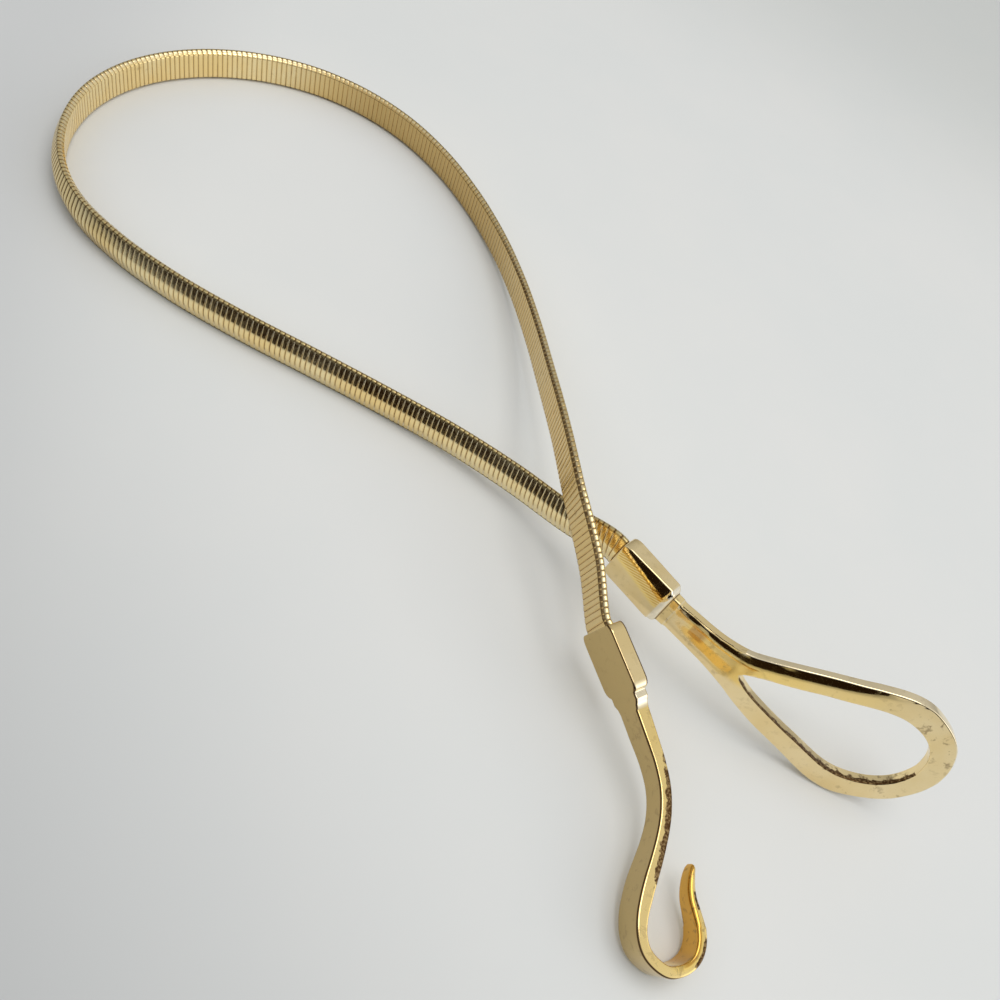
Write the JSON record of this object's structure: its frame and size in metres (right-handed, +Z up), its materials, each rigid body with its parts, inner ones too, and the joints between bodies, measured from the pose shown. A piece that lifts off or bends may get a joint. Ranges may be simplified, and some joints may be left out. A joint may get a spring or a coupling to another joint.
{
  "type": "metal stretch belt",
  "caption": "Gold-tone wound metal stretch belt with a curled hook at one end and a long teardrop eye at the other, lying unfastened on its edge.",
  "frame": {"origin": "middle of the footprint on the table, at the height the belt rests on", "axes": "+X from the bend of the band towards the eye, +Z up from the table"},
  "size_m": [0.3363, 0.2214, 0.0433],
  "materials": {
    "coil": "polished gold-tone ridges, darker between them",
    "cast_gold": "polished, lightly worn gold tone"
  },
  "bodies": {
    "root": {"stretch_band": "coil", "hook_clasp": "cast_gold", "loop_clasp": "cast_gold"}
  },
  "joints": []
}
